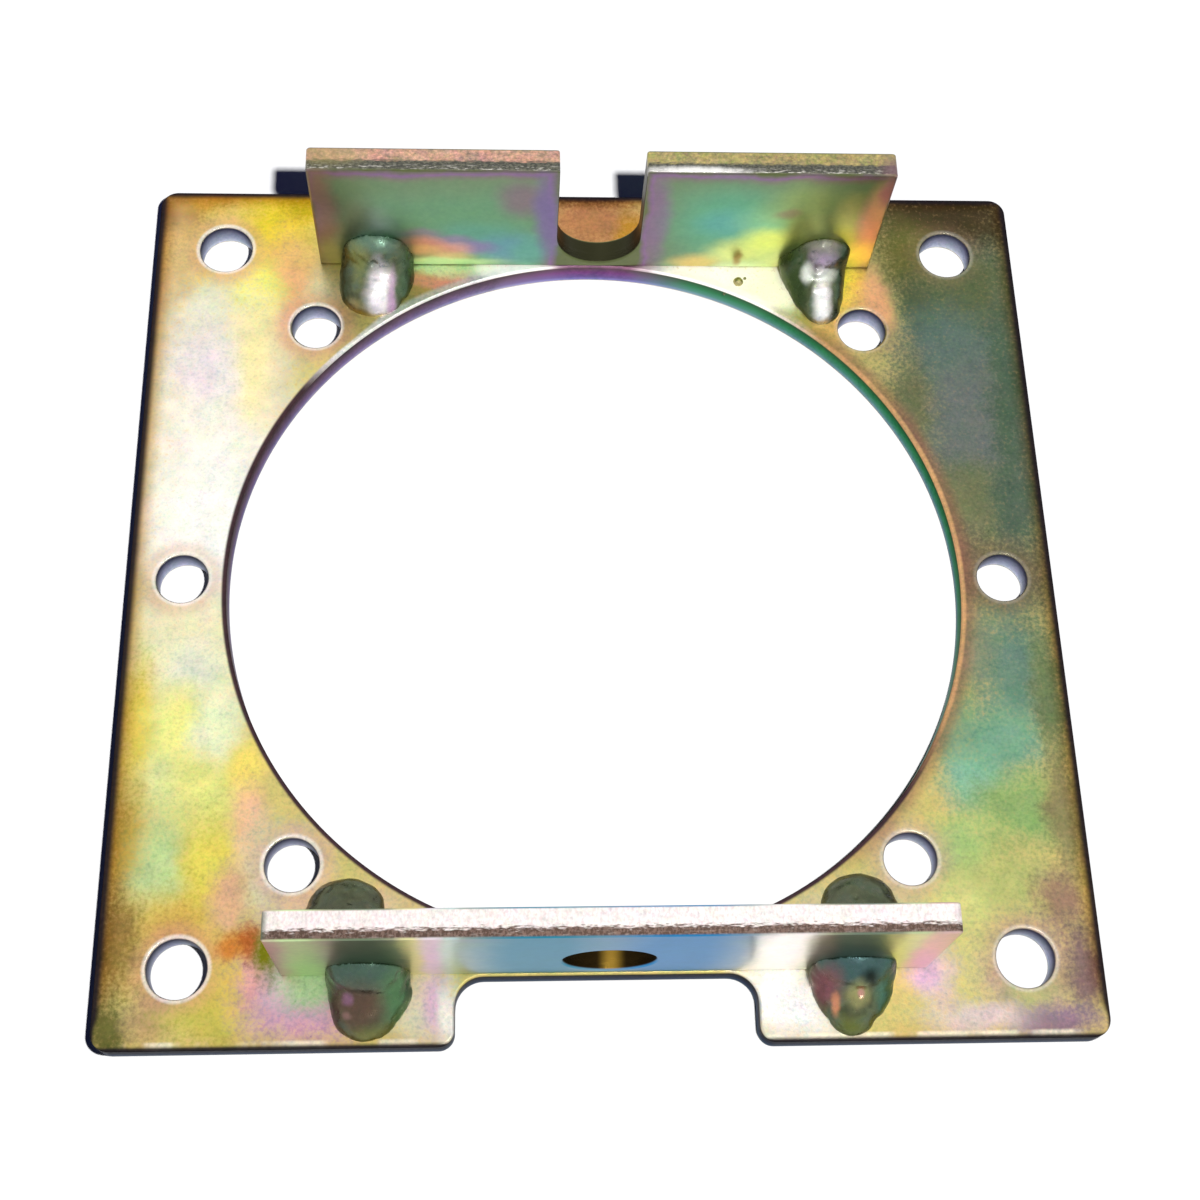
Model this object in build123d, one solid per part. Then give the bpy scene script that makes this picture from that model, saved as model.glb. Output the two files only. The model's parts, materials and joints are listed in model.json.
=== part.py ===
from build123d import *
import os
from math import cos, radians, sin

# Motor mounting bracket, a steel weldment: a square base plate with a large bore, two upright
# flanges that stand on it tangent to the bore, and a tack bead at each end of each flange face.
# Millimetres. The origin is on the bore's axis, in the plane of the plate's underside.
# +Z points up out of the plate, +Y to the flange with the open slot, +X to its right.

# Sheet that all three pieces are cut from
sheet_thickness = 4.55
sheared_edge_radius = 0.45      # rolled-over edge that shearing leaves on one face

# Base plate, from the bore outwards
bore_radius = 63.0
ring_land = 7.45                # bore's edge to the centres of the ring of bolt holes
ring_hole_radius = 4.35
ring_step = 45.0                # degrees between ring positions
ring_skipped = (90, 270)        # no holes where the flanges stand
side_margin = 8.925             # side ring hole's centre to the plate's side edge
flange_ledge = 11.1             # flange's outer face to the plate's front or rear edge
plate_corner_radius = 3.0
corner_hole_radius = 4.7
corner_hole_inset = 12.5        # hole centre to both neighbouring plate edges

# Notch in the plate's front edge
notch_width = 47.5
notch_lip = 0.4                 # plate left in front of the front flange
notch_root_radius = 4.5
notch_mouth_radius = 2.5

# Upright flanges
flange_length = 101.6
front_flange_height = 25.4
rear_flange_height = 28.6
flange_corner_radius = 0.8
flange_bore_gap = 0.05          # bore's edge to each flange's inner face
rear_flange_shift = 1.3         # the slotted flange is welded off centre
rod_height = 8.75               # rod hole's and slot's centre above the plate
rod_hole_radius = 7.15
rod_slot_width = 15.0

# Tack beads, each a convex tongue of weld laid from the flange down to the plate
bead_width = 13.0
bead_rise = 10.0                # from the plate up the flange's face
bead_strokes = 4                # straight strokes that its crown is made of
inner_bead_reach = 11.3         # out along the plate, on the faces towards the bore
outer_bead_reach = 10.6         # the same on the faces away from it
inner_bead_inset = 10.3         # flange's end to the bead's middle, on the faces towards the bore
outer_bead_inset = 13.05        # the same on the faces away from it

# Places that follow from the sizes above
ring_radius = bore_radius + ring_land
inner_face = bore_radius + flange_bore_gap
outer_face = inner_face + sheet_thickness
half_width = ring_radius + side_margin
half_depth = outer_face + flange_ledge
notch_edge = outer_face + notch_lip


def place_ring_holes():
    """Round holes on a circle about the bore, without those under the flanges."""
    hole = Circle(ring_hole_radius)
    angles = [i * ring_step for i in range(round(360 / ring_step))]
    return [
        Pos(ring_radius * cos(radians(angle)), ring_radius * sin(radians(angle))) * hole
        for angle in angles
        if angle not in ring_skipped
    ]


def place_corner_holes():
    """One hole in each corner of the plate, equally far from both edges."""
    hole = Circle(corner_hole_radius)
    x, y = half_width - corner_hole_inset, half_depth - corner_hole_inset
    return [Pos(side * x, end * y) * hole for side in (-1, 1) for end in (-1, 1)]


def make_plate_blank():
    """Outline of the base plate: rounded rectangle with a notch in the front edge."""
    outline = RectangleRounded(2 * half_width, 2 * half_depth, plate_corner_radius)
    notch_depth = half_depth - notch_edge
    outline -= Pos(0, -half_depth) * RectangleRounded(notch_width, 2 * notch_depth, notch_root_radius)
    front_points = outline.vertices().group_by(Axis.Y)[0]
    mouth = front_points.sort_by(lambda point: abs(point.X))[:2]
    return fillet(mouth, notch_mouth_radius)


def make_base_plate(blank, openings):
    """Plate with its top outline rolled over by the shear, then pierced."""
    plate = extrude(blank, sheet_thickness)
    plate = fillet(plate.faces().sort_by(Axis.Z)[-1].edges(), sheared_edge_radius)
    return plate - extrude(openings, sheet_thickness)


def make_flange(height, opening):
    """Upright strip in the XZ plane, foot at z = 0, -Y face at y = -thickness, pierced for the rod."""
    profile = Pos(0, height / 2) * Rectangle(flange_length, height)
    top_corners = profile.vertices().group_by(Axis.Y)[-1]
    profile = fillet(top_corners, flange_corner_radius) - opening
    flange = extrude(Plane.XZ * profile, sheet_thickness)
    face_edges = flange.faces().sort_by(Axis.Y)[0].edges()
    rolled = face_edges.filter_by(lambda edge: edge.center().Z > height - sheared_edge_radius)
    return fillet(rolled, sheared_edge_radius)


def make_bead(reach):
    """Weld bead in the corner of a flange face (y = 0) and the plate (z = 0), towards +Y.

    Each stroke is a rod as wide as the bead, tangent to a quarter ellipse of the bead's reach and rise.
    """
    radius = bead_width / 2
    length = 4 * (reach + bead_rise)
    bead = Box(bead_width, reach, bead_rise, align=(Align.CENTER, Align.MIN, Align.MIN))
    for i in range(bead_strokes):
        angle = radians(90 * (i + 0.5) / bead_strokes)
        crown = Vector(0, reach * cos(angle), bead_rise * sin(angle))
        along = Vector(0, -reach * sin(angle), bead_rise * cos(angle)).normalized()
        inward = Vector(1, 0, 0).cross(along)
        bead &= Plane(crown + radius * inward, z_dir=along) * Cylinder(radius, length)
    return bead


def write_node(name, solid):
    solid.label = name
    export_step(solid, f"parts/{name}.step")


os.makedirs("parts", exist_ok=True)

blank = make_plate_blank()
openings = Sketch() + [Circle(bore_radius)] + place_ring_holes() + place_corner_holes()
write_node("base_plate", make_base_plate(blank, openings))

rod_hole = Pos(0, rod_height) * Circle(rod_hole_radius)
slot_top = rear_flange_height - rod_height
rod_slot = Pos(0, rod_height) * Circle(rod_slot_width / 2)
rod_slot += Pos(0, rod_height + slot_top / 2) * Rectangle(rod_slot_width, slot_top)
write_node(
    "front_flange",
    Pos(0, -inner_face, sheet_thickness) * make_flange(front_flange_height, rod_hole),
)
write_node(
    "rear_flange",
    Pos(rear_flange_shift, outer_face, sheet_thickness) * make_flange(rear_flange_height, rod_slot),
)

# Beads stay on the plate: what would hang over the bore, a hole or an edge is cut away.
land = extrude(blank - openings, sheet_thickness + bead_rise)
for flange_name, middle, facing in (("front", 0, -1), ("rear", rear_flange_shift, 1)):
    for side, face, inset, reach, out in (
        ("inner", inner_face, inner_bead_inset, inner_bead_reach, -facing),
        ("outer", outer_face, outer_bead_inset, outer_bead_reach, facing),
    ):
        for end, x_side in (("left", -1), ("right", 1)):
            x = middle + x_side * (flange_length / 2 - inset)
            turn = 0 if out > 0 else 180
            seat = Pos(x, facing * face, sheet_thickness) * Rot(0, 0, turn)
            write_node(f"{flange_name}_{side}_weld_{end}", seat * make_bead(reach) & land)
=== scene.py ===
import json
import math

import bpy
from mathutils import Matrix, Vector


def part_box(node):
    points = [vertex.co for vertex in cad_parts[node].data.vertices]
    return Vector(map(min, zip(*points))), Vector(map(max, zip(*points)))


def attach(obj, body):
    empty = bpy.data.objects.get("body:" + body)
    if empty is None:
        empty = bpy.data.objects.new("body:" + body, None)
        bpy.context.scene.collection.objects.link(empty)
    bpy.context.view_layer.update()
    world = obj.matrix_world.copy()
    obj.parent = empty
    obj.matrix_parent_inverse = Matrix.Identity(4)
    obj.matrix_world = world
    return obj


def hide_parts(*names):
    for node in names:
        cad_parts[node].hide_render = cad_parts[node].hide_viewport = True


# Motor mounting bracket: yellow-chromated sheet steel with glossy tack welds.
# Pieces are shaped in millimetres and scaled to metres when they are placed.

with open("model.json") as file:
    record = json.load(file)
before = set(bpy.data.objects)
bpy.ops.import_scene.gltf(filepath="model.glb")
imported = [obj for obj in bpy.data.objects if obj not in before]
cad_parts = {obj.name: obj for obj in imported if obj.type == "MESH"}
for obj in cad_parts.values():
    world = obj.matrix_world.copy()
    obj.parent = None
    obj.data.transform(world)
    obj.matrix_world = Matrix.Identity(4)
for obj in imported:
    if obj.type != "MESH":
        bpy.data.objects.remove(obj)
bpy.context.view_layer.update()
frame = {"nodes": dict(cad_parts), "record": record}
mm = 0.001
mounts = {m["name"]: m for m in frame["record"]["mounts"]}


def boxInMm(node):
    low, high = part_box(node)
    return low / mm, high / mm


plateLow, plateHigh = boxInMm("base_plate")
sheet = plateHigh.z - plateLow.z
boreRadius = mounts["motor_bore"]["dims"]["r_mm"]
rodRadius = mounts["rod_hole"]["dims"]["r_mm"]
print("frame loaded:", len(frame["nodes"]), "nodes, sheet", round(sheet, 3), "mm")


# small helpers

def feed(tree, value, socket):
    # value is a constant, a socket, or a node whose first output is meant
    if isinstance(value, bpy.types.Node):
        value = value.outputs[0]
    if isinstance(value, bpy.types.NodeSocket):
        tree.links.new(value, socket)
    else:
        socket.default_value = value


def addNode(tree, kind, inputs=None, **settings):
    node = tree.nodes.new(kind)
    for name, value in settings.items():
        setattr(node, name, value)
    for key, value in (inputs or {}).items():
        feed(tree, value, node.inputs[key])
    return node


def geoNode(tree, kind, inputs=None, **settings):
    return addNode(tree, "GeometryNode" + kind, inputs, **settings)


def shaderNode(tree, kind, inputs=None, **settings):
    return addNode(tree, "ShaderNode" + kind, inputs, **settings)


def newTree(name, inputs, outputs=None):
    # a shader group when outputs are given, otherwise a geometry tree; returns the sockets at both ends too
    tree = bpy.data.node_groups.new(name, "ShaderNodeTree" if outputs else "GeometryNodeTree")
    for label, kind in inputs.items():
        tree.interface.new_socket(label, in_out="INPUT", socket_type="NodeSocket" + kind)
    for label, kind in (outputs or {"Geometry": "Geometry"}).items():
        tree.interface.new_socket(label, in_out="OUTPUT", socket_type="NodeSocket" + kind)
    return tree, tree.nodes.new("NodeGroupInput").outputs, tree.nodes.new("NodeGroupOutput").inputs


def math2(tree, operation, a, b=0.0, c=None):
    inputs = {0: a, 1: b}
    if c is not None:
        inputs[2] = c
    return shaderNode(tree, "Math", inputs, operation=operation)


def plus(tree, a, b):
    return math2(tree, "ADD", a, b)


def minus(tree, a, b):
    return math2(tree, "SUBTRACT", a, b)


def times(tree, a, b):
    return math2(tree, "MULTIPLY", a, b)


def over(tree, a, b):
    return math2(tree, "DIVIDE", a, b)


def timesPlus(tree, a, b, c):
    return math2(tree, "MULTIPLY_ADD", a, b, c)


def least(tree, first, *others):
    for other in others:
        first = math2(tree, "MINIMUM", first, other)
    return first


def vector2(tree, operation, a, b=None, scale=None):
    inputs = {0: a}
    if b is not None:
        inputs[1] = b
    if scale is not None:
        inputs["Scale"] = scale
    node = shaderNode(tree, "VectorMath", inputs, operation=operation)
    return node.outputs["Value" if operation in ("LENGTH", "DISTANCE", "DOT_PRODUCT") else 0]


def axisValue(tree, place, axis):
    return shaderNode(tree, "SeparateXYZ", {0: place}).outputs[axis]


def distanceFrom(tree, value, middle):
    return math2(tree, "ABSOLUTE", minus(tree, value, middle))


def smoothRange(tree, value, low, high, fromValue=0.0, toValue=1.0):
    return shaderNode(tree, "MapRange", {"Value": value, 1: low, 2: high, 3: fromValue, 4: toValue},
        interpolation_type="SMOOTHSTEP")


def fade(tree, value, low, high, start=1.0):
    return smoothRange(tree, value, low, high, start, 0.0)


def noise(tree, place, scale, detail=3.0, roughness=0.5):
    return shaderNode(tree, "TexNoise",
        {"Vector": place, "Scale": scale, "Detail": detail, "Roughness": roughness})


def addObject(name, data):
    added = bpy.data.objects.new(name, data)
    bpy.context.scene.collection.objects.link(added)
    return added


def applyTree(holder, tree, values):
    modifier = holder.modifiers.new(tree.name, "NODES")
    modifier.node_group = tree
    for item in tree.interface.items_tree:
        if item.in_out == "INPUT" and item.name in values:
            modifier[item.identifier] = values[item.name]


def makePiece(holder, name, place):
    # result of the holder's modifiers as a plain mesh at the origin
    bpy.context.view_layer.update()
    graph = bpy.context.evaluated_depsgraph_get()
    mesh = bpy.data.meshes.new_from_object(holder.evaluated_get(graph), depsgraph=graph)
    mesh.transform(place)
    mesh.name = name
    piece = addObject(name, mesh)
    bpy.data.objects.remove(holder)
    return piece


def dress(piece, slot, *nodes):
    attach(piece, "root")
    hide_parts(*nodes)


def joinParts(tree, *parts):
    joined = geoNode(tree, "JoinGeometry")
    for part in parts:
        feed(tree, part, joined.inputs[0])
    return joined


def paintSmooth(tree, geometry, material):
    smooth = geoNode(tree, "SetShadeSmooth", {"Geometry": geometry})
    return geoNode(tree, "SetMaterial", {"Geometry": smooth, "Material": material})


# sheet metal trees

roundSteps = dict(corner=10, boltHole=56, rodHole=72, bore=256)
sheetMesh = dict(seam=0.002, sharpTurn=0.9, rollSteps=4, sliver=0.012)
sheetSockets = {"Thickness": "Float", "Lower Weight": "Float", "Material": "Material"}


def curveHolder(name, corners):
    # closed outline in the XY plane; each corner is (x, y, fillet radius)
    curve = bpy.data.curves.new(name, "CURVE")
    curve.dimensions = "3D"
    spline = curve.splines.new("POLY")
    spline.points.add(len(corners) - 1)
    for point, (x, y, radius) in zip(spline.points, corners):
        point.co = (x, y, 0, 1)
        point.radius = radius
    spline.use_cyclic_u = True
    return addObject(name, curve)


def buildSheetBody():
    # flat outlines -> closed sheet, with bevel weights on its upper and lower outlines
    tree, given, result = newTree("sheetBody", {"Outlines": "Geometry", **sheetSockets})
    face = geoNode(tree, "FillCurve", {"Curve": given["Outlines"]}, mode="NGONS")
    grown = geoNode(tree, "ExtrudeMesh",
        {"Mesh": face, "Offset Scale": given["Thickness"], "Individual": False})
    under = geoNode(tree, "FlipFaces", {"Mesh": face})
    merged = geoNode(tree, "MergeByDistance",
        {"Geometry": joinParts(tree, grown, under), "Distance": sheetMesh["seam"]})
    turn = geoNode(tree, "InputMeshEdgeAngle").outputs["Unsigned Angle"]
    isRim = math2(tree, "GREATER_THAN", turn, sheetMesh["sharpTurn"])
    share = over(tree, axisValue(tree, geoNode(tree, "InputPosition"), "Z"), given["Thickness"])
    isTop = math2(tree, "GREATER_THAN", share, 0.99)
    isLow = math2(tree, "LESS_THAN", share, 0.01)
    weight = times(tree, isRim, timesPlus(tree, isLow, given["Lower Weight"], isTop))
    stored = geoNode(tree, "StoreNamedAttribute",
        {"Geometry": merged, "Name": "bevel_weight_edge", "Value": weight}, data_type="FLOAT", domain="EDGE")
    feed(tree, paintSmooth(tree, stored, given["Material"]), result[0])
    return tree


def thicken(tree, body, given, outlines):
    values = {label: given[label] for label in sheetSockets}
    return geoNode(tree, "Group", {"Outlines": outlines, **values}, node_tree=body)


def roundCorners(tree, outline):
    # the outline's point radius says how far each corner is rounded
    radius = geoNode(tree, "InputRadius")
    return geoNode(tree, "FilletCurve",
        {"Curve": outline, "Count": roundSteps["corner"], "Radius": radius, "Limit Radius": False},
        mode="POLY")


def addRound(tree, radius, steps):
    return geoNode(tree, "CurvePrimitiveCircle", {"Resolution": steps, "Radius": radius}, mode="RADIUS")


def buildBoltPlate(body):
    # plate outline, its bore, a ring of bolt holes with gaps at front and rear, and a hole in each corner
    tree, given, result = newTree("boltPlate", {"Outline": "Geometry", **sheetSockets,
        "Bore Radius": "Float", "Ring Radius": "Float", "Ring Hole Radius": "Float", "Ring Places": "Int",
        "Corner Spacing X": "Float", "Corner Spacing Y": "Float", "Corner Hole Radius": "Float"})
    ring = geoNode(tree, "MeshCircle", {"Vertices": given["Ring Places"], "Radius": given["Ring Radius"]})
    across = axisValue(tree, geoNode(tree, "InputPosition"), "X")
    onMiddle = math2(tree, "LESS_THAN", math2(tree, "ABSOLUTE", across), 1.0)
    kept = geoNode(tree, "DeleteGeometry", {"Geometry": ring, "Selection": onMiddle}, domain="POINT")
    corners = geoNode(tree, "MeshGrid", {"Size X": given["Corner Spacing X"],
        "Size Y": given["Corner Spacing Y"], "Vertices X": 2, "Vertices Y": 2})
    holes = [
        geoNode(tree, "InstanceOnPoints",
            {"Points": points, "Instance": addRound(tree, given[radius], roundSteps["boltHole"])})
        for points, radius in ((kept, "Ring Hole Radius"), (corners, "Corner Hole Radius"))
    ]
    real = geoNode(tree, "RealizeInstances", {"Geometry": joinParts(tree, *holes)})
    bore = addRound(tree, given["Bore Radius"], roundSteps["bore"])
    whole = joinParts(tree, real, bore, roundCorners(tree, given["Outline"]))
    feed(tree, thicken(tree, body, given, whole), result[0])
    return tree


def buildFlangeStrip(body):
    # flange outline with one round hole; a hole radius of 0 leaves it whole
    tree, given, result = newTree("flangeStrip",
        {"Outline": "Geometry", **sheetSockets, "Hole Radius": "Float", "Hole Height": "Float"})
    spot = shaderNode(tree, "CombineXYZ", {"Y": given["Hole Height"]})
    hole = geoNode(tree, "Transform",
        {"Geometry": addRound(tree, given["Hole Radius"], roundSteps["rodHole"]), "Translation": spot})
    isPierced = math2(tree, "GREATER_THAN", given["Hole Radius"], 0.01)
    choice = geoNode(tree, "Switch", {"Switch": isPierced, "True": hole}, input_type="GEOMETRY")
    whole = joinParts(tree, choice, roundCorners(tree, given["Outline"]))
    feed(tree, thicken(tree, body, given, whole), result[0])
    return tree


def finishSheet(holder, name, form, place):
    # the shear's rolled edges as a bevel, then tidy facets with flat normals
    holder = makePiece(holder, name + "Blank", Matrix.Identity(4))
    bevel = holder.modifiers.new("rolledEdges", "BEVEL")
    bevel.limit_method = "WEIGHT"
    bevel.width = form["edgeRoll"]
    bevel.segments = sheetMesh["rollSteps"]
    bevel.use_clamp_overlap = False
    bevel.loop_slide = False
    weld = holder.modifiers.new("noSlivers", "WELD")
    weld.merge_threshold = sheetMesh["sliver"]
    normals = holder.modifiers.new("flatFaces", "WEIGHTED_NORMAL")
    normals.keep_sharp = False
    facets = holder.modifiers.new("evenFacets", "TRIANGULATE")
    facets.ngon_method = "BEAUTY"
    facets.min_vertices = 5  # faces with four corners or fewer stay
    facets.keep_custom_normals = True
    return makePiece(holder, name, Matrix.Scale(mm, 4) @ place)


# chromate finish

def screenColor(red, green, blue):
    # a colour as it looks on screen, 0 to 255, as linear light
    def toLinear(value):
        value /= 255
        return value / 12.92 if value <= 0.04045 else ((value + 0.055) / 1.055) ** 2.4
    return (toLinear(red), toLinear(green), toLinear(blue), 1)


def mixColor(tree, factor, a, b, blend="MIX"):
    mixed = shaderNode(tree, "Mix", {0: factor, 6: a, 7: b}, data_type="RGBA", blend_type=blend)
    return mixed.outputs[2]


def tintOver(tree, share, color, tint, blend="MIX"):
    return mixColor(tree, share, color, screenColor(*tint), blend)


def buildPlaceWarp():
    # Object coordinates in millimetres, and the same place pushed about so that tints get uneven rims
    tree, given, result = newTree("placeWarp", {"Wander": "Float"}, {"Place": "Vector", "Warped": "Vector"})
    place = vector2(tree, "SCALE", shaderNode(tree, "TexCoord").outputs["Object"], scale=1 / mm)
    push = (0, 0, 0)
    for scale, share in ((0.09, 1.0), (0.5, 0.35)):
        shifts = noise(tree, place, scale, 2.0).outputs["Color"]
        centred = vector2(tree, "SUBTRACT", shifts, (0.5, 0.5, 0.5))
        push = vector2(tree, "ADD", vector2(tree, "SCALE", centred, scale=share), push)
    moved = vector2(tree, "ADD", place, vector2(tree, "SCALE", push, scale=given["Wander"]))
    feed(tree, place, result["Place"])
    feed(tree, moved, result["Warped"])
    return tree


def buildGrain():
    # speckle of chromate on rolled steel: a tone to multiply by, a mask of brown specks and a height
    tree, given, result = newTree("chromateGrain",
        {"Place": "Vector", "Fineness": "Float", "Depth": "Float", "Hue": "Float", "Clouds": "Float"},
        {"Tone": "Color", "Specks": "Float", "Height": "Float"})
    speckle = noise(tree, given["Place"], given["Fineness"], roughness=0.65)
    cloud = noise(tree, given["Place"], 0.3, roughness=0.6)
    light = times(tree, minus(tree, speckle, 0.5), given["Depth"])
    patchy = times(tree, minus(tree, cloud, 0.5), given["Clouds"])
    level = plus(tree, plus(tree, light, patchy), 1.0)
    hues = [
        vector2(tree, "SCALE", vector2(tree, "SUBTRACT", source.outputs["Color"], (0.5, 0.5, 0.5)),
            scale=given["Hue"])
        for source in (cloud, speckle)
    ]
    grey = shaderNode(tree, "CombineXYZ", {0: level, 1: level, 2: level})
    feed(tree, vector2(tree, "ADD", grey, vector2(tree, "ADD", *hues)), result["Tone"])
    feed(tree, smoothRange(tree, speckle, 0.56, 0.68), result["Specks"])
    feed(tree, speckle, result["Height"])
    return tree


def buildFilmPatch():
    # a soft-edged ellipsoid of another film colour, laid over the colour that comes in
    tree, given, result = newTree("filmPatch",
        {"Color": "Color", "Place": "Vector", "Mottle": "Float", "Centre": "Vector", "Size": "Vector",
        "Tint": "Color", "Strength": "Float"}, {"Color": "Color"})
    offset = vector2(tree, "SUBTRACT", given["Place"], given["Centre"])
    reach = vector2(tree, "LENGTH", vector2(tree, "DIVIDE", offset, given["Size"]))
    uneven = timesPlus(tree, minus(tree, given["Mottle"], 0.5), 0.8, reach)
    share = times(tree, fade(tree, uneven, 0.3, 1.5), given["Strength"])
    feed(tree, mixColor(tree, share, given["Color"], given["Tint"]), result[0])
    return tree


placeWarp = buildPlaceWarp()
chromateGrain = buildGrain()
filmPatch = buildFilmPatch()
everywhere = 1000.0


def onTop(x, y, halfX, halfY, tint, strength=1.0):
    return (x, y, 0), (halfX, halfY, everywhere), tint, strength


def onFace(x, z, halfX, halfZ, tint, strength=1.0):
    return (x, 0, z), (halfX, everywhere, halfZ), tint, strength


def onBead(x, y, z, halfX, halfY, halfZ, tint, strength=1.0):
    return (x, y, z), (halfX, halfY, halfZ), tint, strength


def useGroup(tree, group, **values):
    return shaderNode(tree, "Group", values, node_tree=group)


def layGround(tree, look):
    # the place in millimetres, the same place pushed about, and the outputs of the grain there
    warp = useGroup(tree, placeWarp, Wander=look["wander"])
    place = warp.outputs["Place"]
    grain = useGroup(tree, chromateGrain, Place=place, Fineness=look["fineness"], Depth=look["depth"],
        Hue=look["hue"], Clouds=look["clouds"])
    return place, warp.outputs["Warped"], grain.outputs


def layTints(tree, color, place, mottle, patches):
    for centre, size, tint, strength in patches:
        color = useGroup(tree, filmPatch, Color=color, Place=place, Mottle=mottle, Centre=centre, Size=size,
            Tint=screenColor(*tint), Strength=strength)
    return color


def newMaterial(name, values):
    material = bpy.data.materials.new(name)
    material.use_nodes = True
    surface = material.node_tree.nodes["Principled BSDF"].inputs
    for label, value in values.items():
        surface[label].default_value = value
    return material, material.node_tree, surface


def newMetal(name, roughness, edgeOn=1.0):
    # edgeOn dims what the metal reflects at a low angle
    return newMaterial(name, {"Metallic": 1, "Roughness": roughness, "Specular Tint": (edgeOn,) * 3 + (1,)})


def addBump(tree, surface, height, strength, depth):
    bump = shaderNode(tree, "Bump", {"Height": height, "Strength": strength, "Distance": depth})
    feed(tree, bump, surface["Normal"])


def wallMask(tree, value, low, high):
    # 0 on the two faces at low and high, 1 on the walls between them
    fromMiddle = distanceFrom(tree, value, (low + high) / 2)
    return smoothRange(tree, minus(tree, (high - low) / 2, fromMiddle), 0.08, 0.4)


def inkRamp(tree, value, span, stops):
    # colour by a length in millimetres; stops are (length, tint)
    ramp = shaderNode(tree, "ValToRGB", {0: over(tree, value, span)})
    elements = ramp.color_ramp.elements
    while len(elements) < len(stops):
        elements.new(0.5)
    for element, (length, tint) in zip(elements, stops):
        element.position = length / span
        element.color = screenColor(*tint)
    return ramp


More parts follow.
